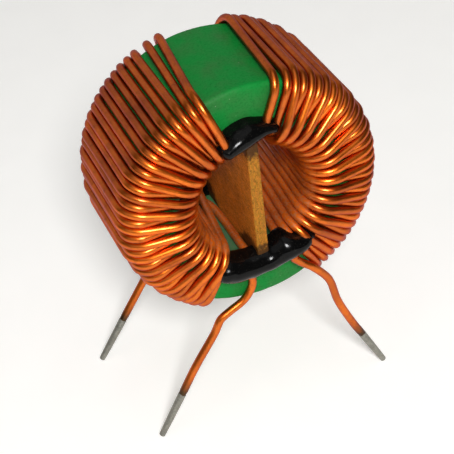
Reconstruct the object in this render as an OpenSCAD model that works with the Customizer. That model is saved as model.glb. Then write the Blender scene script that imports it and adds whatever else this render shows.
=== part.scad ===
// Common-mode choke on a coated ferrite toroid, standing on its four wire ends.
// Millimetres, +Z up from the surface that it stands on. The toroid's axis lies along Y and its front face
// looks towards -Y.
// Each winding is one wire. It goes up its half of the ring in a first pass, turns round near the top, and
// comes back down in a return pass. The return turns lie between the first ones on the rim and over them in
// the hole.

/* [Core] */
// Outside diameter over the coating
core_outer_dia = 25; // [22:0.5:30]
// Hole diameter over the coating
core_hole_dia = 15; // [14:0.5:17]
// Width from face to face over the coating
core_width = 12.9; // [9:0.1:18]
// Rounding of the coated edges
core_edge_radius = 0.5; // [0.4:0.05:0.9]
// Thickness of the epoxy coating
coating_thickness = 0.3; // [0.15:0.05:0.35]
// Height of the toroid's centre above the surface
core_centre_height = 26.5; // [24:0.5:32]

/* [Wire] */
// Diameter of the bare copper
copper_dia = 0.8; // [0.5:0.05:0.9]
// Thickness of the enamel
enamel_thickness = 0.03; // [0.02:0.005:0.06]
// Room between the first pass and the core
lay_clearance = 0.04; // [0.03:0.01:0.1]
// Room between the two passes in the hole
pass_clearance = 0.01; // [0.01:0.01:0.1]
// Room between neighbouring turns on the rim
rim_clearance = 0.06; // [0.05:0.01:0.2]
// Room between neighbouring turns of the return pass in the hole
hole_clearance = 0.01; // [0.01:0.01:0.1]
// Ease of the first pass's bends over the outer edges, drawn from the edge towards the ring's middle
first_outer_ease = 0.45; // [0.2:0.05:0.6]
// Ease of the return pass's bends over the outer edges
return_outer_ease = 1.1; // [0.9:0.05:1.4]
// Ease of both passes' bends into the hole
inner_ease = 0.35; // [0.1:0.05:0.5]

/* [Windings] */
// Angle from the top of the toroid to the first turn
winding_top_angle = 18; // [16:0.5:24]
// Angle that each winding covers
winding_span = 134; // [90:1:135]
// Angle by which both windings are turned about the toroid's axis
winding_lean = 1.3; // [-2:0.1:2]
// Room between the divider and the wire that enters beside it
entry_clearance = 0.2; // [0.1:0.05:0.4]
// Return turns that the left winding leaves out at its end
left_turns_left_out = 1; // [0:1:2]
// Return turns that the right winding leaves out at its end
right_turns_left_out = 0; // [0:1:2]

/* [Leads] */
// Sideways distance from the middle to the front left tip
front_left_spread = 13.5; // [9:0.1:18]
// Sideways distance from the middle to the front right tip
front_right_spread = 12.5; // [9:0.1:18]
// Sideways distance from the middle to the back left tip
back_left_spread = 15.4; // [9:0.1:18]
// Sideways distance from the middle to the back right tip
back_right_spread = 14.5; // [9:0.1:18]
// Distance of the front left tip in front of the core's face
front_left_reach = 0.7; // [0.6:0.1:4]
// Distance of the front right tip in front of the core's face
front_right_reach = 1.8; // [1:0.1:4]
// Distance of the back left tip behind the core's face
back_left_reach = 0.7; // [0.6:0.1:4]
// Distance of the back right tip behind the core's face
back_right_reach = 5; // [0.6:0.1:7]
// Length of each tinned end
tin_length = 5.6; // [3:0.1:8]
// Thickness of the solder coat
tin_thickness = 0.03; // [0.02:0.01:0.1]
// Bevel at each tip
tin_bevel = 0.1; // [0.05:0.01:0.2]

/* [Divider] */
// Thickness of the divider board
board_thickness = 1.2; // [0.8:0.1:1.6]
// Height by which the board stands out of both faces
board_proud = 1.25; // [0.5:0.05:1.5]
// Room between the board's ends and the hole
board_clearance = 0.05; // [0.02:0.01:0.2]

/* [Glue] */
// Half width of a bead where its share is one
glue_half_width = 1.7; // [1.5:0.05:1.9]
// Height of a bead over the core's face where its share is one
glue_height = 2.5; // [2.3:0.05:2.8]
// Depth of a bead into the hole
glue_depth = 1; // [0.6:0.1:1.6]
// Room between a bead and what it sits on
glue_seat = 0.03; // [0.03:0.01:0.06]
// Angle from +X to the start of a bottom bead
glue_bottom_start = 242; // [240:0.5:250]
// Angle that a bottom bead covers
glue_bottom_span = 64.5; // [50:0.5:67]
// Angle from +X to the start of a top bead
glue_top_start = 110; // [100:0.5:112]
// Angle that a top bead covers
glue_top_span = 38; // [20:0.5:42]

/* [Hidden] */
$fn = 96;

// Steps in each rounded edge of the core
edge_steps = 6;
// Sides of the wire's section, and rings in each pass's bends over an outer and an inner edge
wire_sides = 7;
first_rings = [3, 2];
return_rings = [3, 3];
// Sides of the round drops that make up a bead
glue_sides = 12;
// Sides of the room that a bead leaves for a wire
room_sides = 6;
// Sides and edge steps of the ring that a bead is cut to
glue_ring_sides = 50;
glue_edge_steps = 3;
// Share of the way through the hole that a bead can reach, and turns that it can lie over
hole_way_share = 0.56;
cover_turns = 6;

hole_radius = core_hole_dia / 2;
rim_radius = core_outer_dia / 2;
half_width = core_width / 2;
ring_depth = rim_radius - hole_radius;

copper_radius = copper_dia / 2;
wire_radius = copper_radius + enamel_thickness;
wire_dia = 2 * wire_radius;
lay = wire_radius + lay_clearance;
pass_step = wire_dia + pass_clearance;

// The wire bends round the middles of the core's rounded edges
edge_inner = hole_radius + core_edge_radius;
edge_outer = rim_radius - core_edge_radius;
edge_level = half_width - core_edge_radius;

// A pass is the radius and ease of its bends over an outer edge, those of its bends into the hole, and the
// angle at which it leaves the one bend for the other. An eased bend is wider and clears the edge by as much.
function pass(outer_bend, outer_ease, inner_bend, inner_ease) = let (
        outer = outer_bend + sqrt(2) * outer_ease,
        inner = inner_bend + sqrt(2) * inner_ease,
        apart = [edge_outer - outer_ease - edge_inner - inner_ease, inner_ease - outer_ease]
    )
    [outer, outer_ease, inner, inner_ease, atan2(apart.y, apart.x) + acos((inner - outer) / norm(apart))];
edge_bend = core_edge_radius + lay;
FIRST = pass(edge_bend, first_outer_ease, edge_bend, inner_ease);
RETURN = pass(edge_bend, return_outer_ease, edge_bend + pass_step, inner_ease);
first_hole_radius = edge_inner + FIRST[3] - FIRST[2];
return_hole_radius = edge_inner + RETURN[3] - RETURN[2];
return_level = edge_level - RETURN[3] + RETURN[2];

// The turns stand as close as the rim and the hole allow, in pairs of a first and a return turn
closest_on_rim = (wire_dia + rim_clearance) / (rim_radius + lay) * 180 / PI;
closest_in_hole = (wire_dia + hole_clearance) / return_hole_radius * 180 / PI / 2;
turn_pairs = floor(winding_span / max(closest_on_rim, closest_in_hole) / 2);
turn_angle = winding_span / turn_pairs / 2;

// The wire that starts a winding enters the hole beside the divider
entry_x = board_thickness / 2 + wire_radius + entry_clearance;
entry_angle = 270 - asin(entry_x / first_hole_radius);

// Where a lead leaves the face, as shares of the ring's depth from the hole
entry_exit_share = 0.54;
last_exit_share = 0.49;
last_exit_radius = hole_radius + last_exit_share * ring_depth;
last_exit_angle = (wire_dia + 2 * rim_clearance) / last_exit_radius * 180 / PI;

// Way of each first lead through the hole, as shares of the angle to the first turn and of the core's width
left_entry_shares = [[0.06, 0.7], [0.42, 0.84]];
right_entry_shares = [[0.5, 0.5]];

// Bends of each lead as shares of the way from the face to the tip, sideways, along the axis and down
front_left_shares = [
    [0.03, 0.06, 0.06], [0.1, 0.12, 0.12], [0.23, 0.17, 0.17],
    [0.32, 0.21, 0.21], [0.39, 0.3, 0.3], [0.6, 0.52, 0.52]
];
front_right_shares = [
    [0.1, 0.6, 0.04], [0.29, 0.75, 0.16], [0.34, 0.75, 0.22],
    [0.41, 0.78, 0.37], [0.6, 0.85, 0.6]
];
back_left_shares = [[0.06, 0.1, 0.1], [0.15, 0.2, 0.2], [0.28, 0.33, 0.33], [0.46, 0.5, 0.5]];
back_right_shares = [
    [0.03, 0.06, 0.06], [0.12, 0.12, 0.12], [0.26, 0.19, 0.19],
    [0.36, 0.28, 0.28], [0.56, 0.5, 0.5]
];

// The solder coat closes over the wire's end
tin_radius = copper_radius + tin_thickness;
tin_cap = tin_thickness;
stripped_radius = copper_radius - tin_thickness / 3;
strip_length = enamel_thickness + tin_thickness;

board_half = board_thickness / 2;
board_reach = sqrt(pow(hole_radius - board_clearance, 2) - pow(board_half, 2));

// Beads from one end to the other: places across the ring's depth, widths and heights
glue_bottom_place_shares = [0.14, 0.11, 0.07, 0.04, 0.01, -0.03, -0.07, -0.01, 0.12];
glue_bottom_width_shares = [0.94, 0.95, 0.94, 0.92, 0.89, 0.96, 1.08, 1.03, 0.7];
glue_bottom_height_shares = [0.94, 0.96, 0.9, 0.85, 0.84, 0.9, 1, 0.98, 0.76];
glue_top_place_shares = [0, 0.02, 0.03, 0.04, 0.06, 0.08, 0.1, 0.11, 0.1];
glue_top_width_shares = [0.62, 0.73, 0.8, 0.82, 0.8, 0.7, 0.55, 0.42, 0.36];
glue_top_height_shares = [0.94, 0.95, 0.92, 0.88, 0.86, 0.82, 0.76, 0.68, 0.6];

function unit(v) = v / norm(v);
function reversed(list) = [for (i = [len(list) - 1:-1:0]) list[i]];

// A point at a distance from the toroid's axis, at an angle from +X, and a way along the axis
function on_core(radius, angle, along) = [radius * cos(angle), along, radius * sin(angle)];

// Corners of a bend whose straight pieces touch an arc
function bend(centre, radius, from, to, count, angle, side) = [
    for (i = [0:count - 1])
        let (step = (to - from) / count, at = from + (i + 0.5) * step, reach = radius / cos(step / 2))
            on_core(centre.x + reach * cos(at), angle, side * (centre.y + reach * sin(at)))
];
function outer_centre(pass) = [edge_outer - pass[1], edge_level - pass[1]];
function inner_centre(pass) = [edge_inner + pass[3], edge_level - pass[3]];
function pass_rings(pass) = pass == FIRST ? first_rings : return_rings;

function out_of_hole(pass, angle, side) =
    bend(inner_centre(pass), pass[2], 180, pass[4], pass_rings(pass)[1], angle, side);
function into_hole(pass, angle, side) =
    bend(inner_centre(pass), pass[2], pass[4], 180, pass_rings(pass)[1], angle, side);
function onto_rim(pass, angle, side) =
    bend(outer_centre(pass), pass[0], pass[4], 0, pass_rings(pass)[0], angle, side);
function off_rim(pass, angle, side) =
    bend(outer_centre(pass), pass[0], 0, pass[4], pass_rings(pass)[0], angle, side);

// One turn: out of the hole at the back, over the rim, and into the hole at the front
function turn(back_pass, back_angle, front_pass, front_angle) = concat(
    out_of_hole(back_pass, back_angle, 1), onto_rim(back_pass, back_angle, 1),
    off_rim(front_pass, front_angle, -1), into_hole(front_pass, front_angle, -1)
);

// All turns of a left winding whose top return turn is at an angle, in the order of the wire
function first_turns(top) = [
    for (i = [0:turn_pairs - 1])
        let (angle = top + winding_span - (2 * i + 1) * turn_angle)
            turn(FIRST, angle, FIRST, angle)
];
function top_turn(top) = turn(FIRST, top - turn_angle, RETURN, top);
function return_turns(top, left_out) = [
    for (i = [1:turn_pairs - left_out])
        let (angle = top + 2 * i * turn_angle)
            turn(RETURN, angle, RETURN, angle)
];

// A lead's bends, from the point where it leaves the face to its tip
function lead_bends(exit, tip, shares) = [
    for (share = shares)
        [
            exit.x + share[0] * (tip.x - exit.x),
            exit.y + share[1] * (tip.y - exit.y),
            exit.z + share[2] * (tip.z - exit.z)
        ]
];

// Middle of a tip's flat end, so that its bevelled rim rests on the surface
function tip_at(last, spread, along) =
    let (flat = [spread, along, -core_centre_height], way = unit(flat - last))
        flat + [0, 0, (tin_radius - tin_bevel) * norm([way.x, way.y])];

// Leads as [exit, tip, direction at the tip, bends], for a left winding
function lead(exit, spread, along, shares) = let (
        rough = lead_bends(exit, [spread, along, -core_centre_height], shares),
        tip = tip_at(rough[len(rough) - 1], spread, along),
        bends = lead_bends(exit, tip, shares)
    )
    [exit, tip, unit(tip - bends[len(bends) - 1]), bends];

entry_exit = [-entry_x, -half_width - lay, -hole_radius - entry_exit_share * ring_depth];
function entry_lead(spread, reach, shares) =
    lead(entry_exit, -spread, -half_width - reach, shares);
function last_lead(top, spread, reach, shares) = lead(
    on_core(last_exit_radius, top + winding_span + last_exit_angle, return_level),
    -spread, half_width + reach, shares
);

left_top = 90 + winding_top_angle + winding_lean;
right_top = 90 + winding_top_angle - winding_lean;
front_left_lead = entry_lead(front_left_spread, front_left_reach, front_left_shares);
back_left_lead = last_lead(left_top, back_left_spread, back_left_reach, back_left_shares);
back_right_lead = entry_lead(back_right_spread, back_right_reach, back_right_shares);
front_right_lead = last_lead(right_top, front_right_spread, front_right_reach, front_right_shares);

function thick(points, radius) = [for (p = points) [p.x, p.y, p.z, radius]];

// The wire of a lead, from the face to the end inside its solder coat
function lead_wire(lead) = concat(
    thick(concat([lead[0]], lead[3]), wire_radius),
    thick([lead[1] - (tin_length + strip_length) * lead[2]], wire_radius),
    thick([
        lead[1] - (tin_length + tin_thickness / 3) * lead[2],
        lead[1] - (tin_cap + tin_thickness / 3) * lead[2]
    ], stripped_radius)
);

function flat(lists) = [for (list = lists) each list];
// The first lead follows the hole round to the first turn
function entry_way(top, shares) = let (
        radius = (first_hole_radius + hole_radius - wire_radius) / 2,
        turned = top + winding_span - turn_angle - entry_angle
    )
    [
        for (share = shares)
            on_core(radius, entry_angle + share[0] * turned, share[1] * core_width - half_width)
    ];

// The wire of a left winding in pieces: the first lead, each turn, and the last lead
function winding_runs(top, entry, entry_shares, last, left_out) = concat(
    [
        concat(
            reversed(lead_wire(entry)),
            thick(into_hole(FIRST, entry_angle, -1), wire_radius),
            thick(entry_way(top, entry_shares), wire_radius)
        )
    ],
    [for (turn = first_turns(top)) thick(turn, wire_radius)],
    [thick(top_turn(top), wire_radius)],
    [for (turn = return_turns(top, left_out)) thick(turn, wire_radius)],
    [
        concat(
            thick(out_of_hole(RETURN, top + winding_span + 2 * turn_angle, 1), wire_radius),
            lead_wire(last)
        )
    ]
);
left_runs = winding_runs(
    left_top, front_left_lead, left_entry_shares, back_left_lead, left_turns_left_out
);
right_runs = winding_runs(
    right_top, back_right_lead, right_entry_shares, front_right_lead, right_turns_left_out
);
// Angle of a winding's last return turn
left_end = left_top + winding_span - 2 * left_turns_left_out * turn_angle;
right_end = right_top + winding_span - 2 * right_turns_left_out * turn_angle;

// A direction carried round a bend without twist
function carried(v, from, to) =
    let (axis = cross(from, to), turned = cross(axis, v))
        v + turned + cross(axis, turned) / (1 + from * to);

// A round wire along a path of [x, y, z, radius], with mitred bends
function spot(p) = [p.x, p.y, p.z];
function ways(path) = [for (i = [0:len(path) - 2]) unit(spot(path[i + 1]) - spot(path[i]))];
function sides_of(way) = unit(cross(way, abs(way.z) < 0.9 ? [0, 0, 1] : [1, 0, 0]));
function carried_sides(way) = [
    for (
        i = 0, side = sides_of(way[0]);
        i < len(way);
        side = i + 1 < len(way) ? carried(side, way[i], way[i + 1]) : side, i = i + 1
    ) side
];
function ring(p, along, side, mitre, sides) = [
    for (k = [0:sides - 1])
        let (
            turned = 360 * (k + 0.5) / sides,
            off = p[3] * (cos(turned) * side + sin(turned) * cross(along, side))
        )
            spot(p) + off - along * ((off * mitre) / (along * mitre))
];
function rings(path, way, side, sides) = [
    for (i = [0:len(path) - 1])
        let (before = max(i - 1, 0), after = min(i, len(way) - 1))
            each ring(path[i], way[before], side[before], unit(way[before] + way[after]), sides)
];

module wire(path, sides = wire_sides) {
    way = ways(path);
    points = rings(path, way, carried_sides(way), sides);
    last = len(path) - 1;
    polyhedron(points, concat(
        [[for (k = [0:sides - 1]) k]],
        [
            for (i = [0:last - 1], k = [0:sides - 1])
                let (next = (k + 1) % sides, here = i * sides, there = here + sides)
                    [here + k, there + k, there + next, here + next]
        ],
        [[for (k = [sides - 1:-1:0]) last * sides + k]]
    ));
}

// Outline of the ring's section, inset from the coated surface
function ring_section(inset, steps) = let (round = max(core_edge_radius - inset, coating_thickness / 2))
    [
        for (corner = [[1, 1, 0], [-1, 1, 90], [-1, -1, 180], [1, -1, 270]], i = [0:steps])
            let (
                middle = [
                    (corner.x > 0 ? rim_radius - inset - round : hole_radius + inset + round),
                    corner.y * (half_width - inset - round)
                ],
                at = corner[2] + 90 * i / steps
            )
                middle + round * [cos(at), sin(at)]
    ];

module at_centre() {
    translate([0, 0, core_centre_height]) children();
}

// The right half is the left half turned round the vertical
module right_half() {
    rotate([0, 0, 180]) children();
}

module ring_body(inset, steps = edge_steps) {
    rotate([90, 0, 0]) rotate_extrude() polygon(ring_section(inset, steps));
}

module ferrite_core() {
    color("#3c3c40") at_centre() ring_body(coating_thickness);
}

module core_coating() {
    color("#2e8b45") at_centre() difference() {
        ring_body(0);
        ring_body(coating_thickness);
    }
}

module winding_left() {
    color("#b5622a") at_centre() wire(flat(left_runs));
}

module winding_right() {
    color("#b5622a") at_centre() right_half() wire(flat(right_runs));
}

module board_body(room) {
    width = 2 * (half_width + board_proud);
    cube([board_thickness + 2 * room, width + 2 * room, 2 * (board_reach + room)], center = true);
}

module divider_board() {
    color("#9a6a2c") at_centre() board_body(0);
}

// One piece of a wire with its way into and out of the hole, made thicker by the room round it
function widened(path) = [for (p = path) [p.x, p.y, p.z, (p[3] + glue_seat) / cos(180 / room_sides)]];
function between(from, to, share) = from + share * (to - from);
function stretch(runs, i) = concat(
    i > 0 ? [between(runs[i - 1][len(runs[i - 1]) - 1], runs[i][0], 1 - hole_way_share)] : [],
    runs[i],
    i < len(runs) - 1 ? [between(runs[i][len(runs[i]) - 1], runs[i + 1][0], hole_way_share)] : []
);

module wire_room(runs, picks) {
    for (i = picks) wire(widened(stretch(runs, i)), room_sides);
}

module drop(place_share, width_share, height_share, angle) {
    half = glue_half_width * width_share;
    translate(on_core(hole_radius + place_share * ring_depth, angle, -half_width))
        scale([half, glue_height * height_share, half]) sphere(r = 1, $fn = glue_sides);
}

module bead(start, span, places, widths, heights) {
    count = len(places) - 1;
    step = span / count;
    for (i = [0:count - 1]) hull() {
        drop(places[i], widths[i], heights[i], start + i * step);
        drop(places[i + 1], widths[i + 1], heights[i + 1], start + (i + 1) * step);
    }
}

// The space that the turns of a left winding take up on the front face, from one turn on
function cover_section() = let (
        room = wire_radius + glue_seat,
        inner = inner_centre(RETURN),
        outer = outer_centre(RETURN),
        corners = concat(
            [[inner.x - RETURN[2] - room, 0]],
            bend(inner, RETURN[2] + room, 180, RETURN[4], return_rings[1], 0, 1),
            bend(outer, RETURN[0] + room, RETURN[4], 0, return_rings[0], 0, 1),
            [[outer.x + RETURN[0] + room, 0]]
        )
    )
    [for (corner = corners) [corner.x, corner.y]];

module cover(from, span) {
    rotate([90, 0, 0]) rotate([0, 0, min(from, from + span)])
        rotate_extrude(angle = abs(span), $fn = glue_ring_sides) polygon(cover_section());
}

// A bead on the front face, cut to sit on the core, the board, the turns of both windings and the wires
// that leave them. The far winding shows its back there.
module seated(near_runs, far_runs, near_picks, far_picks, near_from, far_from, cover_span) {
    difference() {
        children();
        ring_body(-glue_seat, glue_edge_steps, $fn = glue_ring_sides);
        translate([-rim_radius, glue_depth - half_width, -rim_radius])
            cube([core_outer_dia, core_width, core_outer_dia]);
        board_body(glue_seat);
        cover(near_from, cover_span);
        cover(180 - far_from, -cover_span);
        wire_room(near_runs, near_picks);
        right_half() wire_room(far_runs, far_picks);
    }
}

module bottom_bead(near_runs, far_runs, near_end, far_end) {
    near_last = len(near_runs) - 1;
    far_last = len(far_runs) - 1;
    seated(
        near_runs, far_runs, [0, 1, near_last - 1], [0, 1, far_last - 1, far_last],
        near_end, far_end, -cover_turns * turn_angle
    )
        bead(
            glue_bottom_start, glue_bottom_span, glue_bottom_place_shares,
            glue_bottom_width_shares, glue_bottom_height_shares
        );
}

module top_bead(near_runs, far_runs, near_top, far_top) {
    top = turn_pairs + 1;
    seated(
        near_runs, far_runs, [top], [top - 1, top],
        near_top, far_top + 2 * turn_angle, cover_turns * turn_angle
    )
        bead(
            glue_top_start, -glue_top_span, glue_top_place_shares,
            glue_top_width_shares, glue_top_height_shares
        );
}

module glue_top_front() {
    color("#141414") at_centre() top_bead(left_runs, right_runs, left_top, right_top);
}

module glue_bottom_front() {
    color("#141414") at_centre() bottom_bead(left_runs, right_runs, left_end, right_end);
}

module glue_top_back() {
    color("#141414") at_centre() right_half() top_bead(right_runs, left_runs, right_top, left_top);
}

module glue_bottom_back() {
    color("#141414") at_centre() right_half() bottom_bead(right_runs, left_runs, right_end, left_end);
}

module tinned_end(lead) {
    up = -lead[2];
    translate(lead[1]) rotate([0, acos(up.z), atan2(up.y, up.x)]) rotate_extrude() polygon([
        [0, 0], [tin_radius - tin_bevel, 0], [tin_radius, tin_bevel], [tin_radius, tin_length],
        [copper_radius, tin_length], [copper_radius, tin_cap], [0, tin_cap]
    ]);
}

module tin_front_left() {
    color("#a8a8a4") at_centre() tinned_end(front_left_lead);
}

module tin_back_left() {
    color("#a8a8a4") at_centre() tinned_end(back_left_lead);
}

module tin_front_right() {
    color("#a8a8a4") at_centre() right_half() tinned_end(front_right_lead);
}

module tin_back_right() {
    color("#a8a8a4") at_centre() right_half() tinned_end(back_right_lead);
}

ferrite_core();
core_coating();
winding_left();
winding_right();
divider_board();
glue_top_front();
glue_bottom_front();
glue_top_back();
glue_bottom_back();
tin_front_left();
tin_front_right();
tin_back_left();
tin_back_right();
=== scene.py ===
"""Dresses a packed common-mode choke: coated toroid, two windings, divider, glue beads and tinned ends."""

import math

import bpy
import numpy as np
from bpy.props import FloatProperty, FloatVectorProperty, IntProperty, PointerProperty
from mathutils import Matrix, Vector, noise


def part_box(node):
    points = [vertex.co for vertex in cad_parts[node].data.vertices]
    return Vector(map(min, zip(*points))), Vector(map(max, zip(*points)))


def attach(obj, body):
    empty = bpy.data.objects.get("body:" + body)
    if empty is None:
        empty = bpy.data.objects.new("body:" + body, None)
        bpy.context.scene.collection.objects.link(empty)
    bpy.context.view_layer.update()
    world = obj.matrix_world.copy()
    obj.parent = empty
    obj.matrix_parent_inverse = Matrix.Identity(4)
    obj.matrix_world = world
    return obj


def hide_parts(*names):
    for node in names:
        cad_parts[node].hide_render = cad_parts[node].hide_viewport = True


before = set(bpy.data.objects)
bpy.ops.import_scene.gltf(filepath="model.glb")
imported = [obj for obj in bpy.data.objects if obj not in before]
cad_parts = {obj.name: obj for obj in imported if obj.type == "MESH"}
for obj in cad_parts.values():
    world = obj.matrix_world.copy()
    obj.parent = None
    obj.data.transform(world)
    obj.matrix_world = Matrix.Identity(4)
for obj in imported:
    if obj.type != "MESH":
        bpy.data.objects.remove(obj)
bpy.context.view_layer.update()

bl_info = {
    "name": "Toroidal choke",
    "version": (1, 0, 0),
    "blender": (4, 5, 0),
    "location": "3D View > Sidebar > Choke",
    "description": "Builds the looks of a common-mode choke around its packed solids",
    "category": "Add Mesh",
}

BODY = "root"
MM = 0.001
# The right winding, the back beads and the right leads are made on the left or front and turned round
TURNED_ROUND = (-1, -1, 1)

# Angles of the ring's top and bottom in degrees from +X
TOP = 90
BOTTOM = 270

# What the packed solids say about the sizes
RING_LOW, RING_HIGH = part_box("core_coating")
BOARD_LOW, BOARD_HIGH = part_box("divider_board")


def paint(code):
    """The linear colour of a written colour such as "c8702a"."""
    shares = [int(code[i : i + 2], 16) / 255 for i in (0, 2, 4)]
    return tuple(s / 12.92 if s <= 0.04045 else ((s + 0.055) / 1.055) ** 2.4 for s in shares)


def length(label, about, size):
    """A property that holds a length in metres."""
    return FloatProperty(
        name=label, description=about, default=size, min=0.0, unit="LENGTH", subtype="DISTANCE", precision=5
    )


def colour(label, about, code):
    """A property that holds a colour."""
    return FloatVectorProperty(
        name=label, description=about, default=paint(code), size=3, min=0.0, max=1.0, subtype="COLOR"
    )


def angle(label, about, degrees):
    """A property that holds an angle."""
    return FloatProperty(name=label, description=about, default=math.radians(degrees), subtype="ANGLE")


def whole_number(label, about, number, least):
    """A property that holds a whole number."""
    return IntProperty(name=label, description=about, default=number, min=least)


def offset(label, about, size):
    """A property that holds a length in metres to either side."""
    return FloatProperty(name=label, description=about, default=size, unit="LENGTH", precision=5)


def lamp_power(label, about, watts):
    """A property that holds a lamp's power."""
    return FloatProperty(name=label, description=about, default=watts, min=0.0, unit="POWER")


def tip_place(label, x, y):
    """A property that holds the place of a lead's tip in metres."""
    return FloatVectorProperty(
        name=label, description="Place of the tip on the surface", default=(x, y), size=2,
        unit="LENGTH", subtype="XYZ", precision=5,
    )


class ChokeCore(bpy.types.PropertyGroup):
    """Sizes and colours of the coated ring."""

    outer_radius: length("Outer radius", "Radius of the rim over the coating", (RING_HIGH.x - RING_LOW.x) / 2)
    hole_radius: length("Hole radius", "Radius of the hole over the coating", 0.0075)
    half_width: length("Half width", "Half the width from face to face", (RING_HIGH.y - RING_LOW.y) / 2)
    edge_radius: length("Edge radius", "Rounding of the coated edges", 0.0005)
    centre_height: length("Centre height", "Height of the ring's centre", (RING_HIGH.z + RING_LOW.z) / 2)
    lump: length("Lumps", "Height of the coating's slow waves", 0.00003)
    green: colour("Coating", "Main colour of the epoxy coating", "0e8032")
    olive: colour("Worn coating", "Colour of its dull patches", "2c7334")
    speck: colour("Specks", "Colour of the coating's pale specks", "90a888")
    # Also painted shade: this greyer, darker colour is laid over the coating inside the hole
    dust: colour("Dust", "Colour of the dust inside the hole", "5c6a58")
    ferrite: colour("Ferrite", "Colour of the ferrite under the coating", "3a3a3e")


class ChokeWire(bpy.types.PropertyGroup):
    """Sizes and colours of the wire and its turns."""

    copper_radius: length("Copper radius", "Radius of the bare copper", 0.0004)
    enamel: length("Enamel", "Thickness of the enamel", 0.00003)
    lay_clearance: length("Lay clearance", "Room between the first pass and the core", 0.00004)
    pass_clearance: length("Pass clearance", "Room between the passes in the hole", 0.00001)
    rim_clearance: length("Rim clearance", "Room between turns on the rim", 0.00006)
    first_ease: length("First ease", "Ease of the first pass over the outer edges", 0.00045)
    return_ease: length("Return ease", "Ease of the return pass over the outer edges", 0.0011)
    inner_ease: length("Inner ease", "Ease of both passes into the hole", 0.00035)
    uneven: length("Uneven lay", "Most that a turn's ease differs from the others", 0.00012)
    pairs: whole_number("Turn pairs", "First and return turns of a winding", 16, 4)
    left_out: whole_number("Left short", "Return turns that the left winding leaves out", 1, 0)
    right_out: whole_number("Right short", "Return turns that the right winding leaves out", 0, 0)
    sides: whole_number("Wire sides", "Sides of the wire's section", 14, 6)
    top_angle: angle("Top angle", "Angle from the top of the ring to the first turn", 18)
    span: angle("Span", "Angle that a winding covers", 134)
    lean: angle("Lean", "Angle by which both windings are turned", 1.3)
    copper: colour("Enamelled copper", "Main colour of the enamelled wire", "fa7c16")
    dark_copper: colour("Dark enamel", "Colour of its darker stretches", "a94a0e")
    dust: colour("Dust", "Colour of the dust on the wire", "8a5c40")
    scorched: colour("Scorched enamel", "Colour beside the tinned ends", "4c3618")


class ChokeLeads(bpy.types.PropertyGroup):
    """Places and finish of the four leads."""

    front_left: tip_place("Front left tip", -0.0135, -0.00715)
    front_right: tip_place("Front right tip", 0.0125, -0.00825)
    back_left: tip_place("Back left tip", -0.0154, 0.00715)
    back_right: tip_place("Back right tip", 0.0145, 0.01145)
    tin_length: length("Tin length", "Length of each tinned end", 0.0056)
    tin_thickness: length("Tin thickness", "Thickness of the solder coat", 0.00003)
    tin_bevel: length("Tip bevel", "Bevel of each tip", 0.0001)
    tip_share: FloatProperty(
        name="Tip share", description="Width of a tip as a share of the solder coat's", default=0.72,
        min=0.3, max=1.0, subtype="FACTOR",
    )
    tin: colour("Tin", "Colour of the solder coat", "98968c")


class ChokeDivider(bpy.types.PropertyGroup):
    """Sizes and colours of the divider board."""

    edge_radius: length("Edge wear", "Rounding of the board's cut edges", 0.00012)
    entry_clearance: length("Entry room", "Room between the board and the wire beside it", 0.0002)
    face: colour("Board face", "Colour of the board's faces", "dc8428")
    cut: colour("Cut edge", "Colour of the board's cut edges", "886014")


class ChokeGlue(bpy.types.PropertyGroup):
    """Sizes and colours of the glue beads."""

    half_width: length("Half width", "Half width of a bead where its share is one", 0.0017)
    height: length("Height", "Height of a bead over the face where its share is one", 0.0025)
    depth: length("Depth", "Depth of a bead below the face", 0.001)
    lump: length("Lumps", "Height of the lumps in a bead", 0.00012)
    black: colour("Glue", "Colour of the set glue", "060606")
    dust: colour("Dust", "Colour of the dust on it", "5a564e")


class ChokeStage(bpy.types.PropertyGroup):
    """Floor, lights and camera."""

    azimuth: angle("Azimuth", "Angle of the camera about the vertical", -18.624)
    elevation: angle("Elevation", "Angle of the camera above the floor", 38.004)
    roll: angle("Roll", "Roll of the camera", -7.275)
    distance: length("Distance", "Distance of the camera from the ring", 0.1375)
    aside: offset("Aside", "Sideways place of the camera in its own view", -0.0000125)
    above: offset("Above", "Upward place of the camera in its own view", -0.006525)
    lens: FloatProperty(
        name="Lens", description="Focal length on a 36 mm sensor", default=107.94, min=1.0, unit="CAMERA"
    )
    key_power: lamp_power("Key light", "Power of the light beside the camera", 1.55)
    top_power: lamp_power("Top light", "Power of the soft light overhead", 0.4)
    floor: colour("Floor", "Colour of the floor", "f2f1ee")


GROUPS = {
    "choke_core": ChokeCore,
    "choke_wire": ChokeWire,
    "choke_leads": ChokeLeads,
    "choke_divider": ChokeDivider,
    "choke_glue": ChokeGlue,
    "choke_stage": ChokeStage,
}


# Meshes


def put_mesh(name, points, faces, values=None):
    """A smooth mesh object from points in millimetres about the origin of the part, with point values."""
    mesh = bpy.data.meshes.new(name)
    mesh.from_pydata((np.asarray(points) * MM).tolist(), [], faces)
    for label, numbers in (values or {}).items():
        layer = mesh.attributes.new(label, "FLOAT", "POINT")
        layer.data.foreach_set("value", np.asarray(numbers, np.float32))
    mesh.validate()
    mesh.shade_smooth()
    piece = bpy.data.objects.new(name, mesh)
    bpy.context.scene.collection.objects.link(piece)
    return piece


def finish_piece(piece, material, slot, *nodes):
    """Gives a piece its material and its place in the part."""
    piece.data.materials.append(material)
    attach(piece, BODY)
    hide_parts(*nodes)


def unit(rows):
    """Rows made one long."""
    rows = np.asarray(rows, float)
    return rows / np.linalg.norm(rows, axis=-1, keepdims=True)


def band_faces(rings, sides, around=False):
    """Quads between rings of points, and back to the first ring where they go all the way around."""
    faces = []
    for i in range(rings if around else rings - 1):
        here, there = i * sides, (i + 1) % rings * sides
        for k in range(sides):
            following = (k + 1) % sides
            faces.append((here + k, here + following, there + following, there + k))
    return faces


def end_faces(rings, sides):
    """The flat faces on the first and the last ring."""
    last = (rings - 1) * sides
    return [tuple(range(sides - 1, -1, -1)), tuple(range(last, last + sides))]


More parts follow.
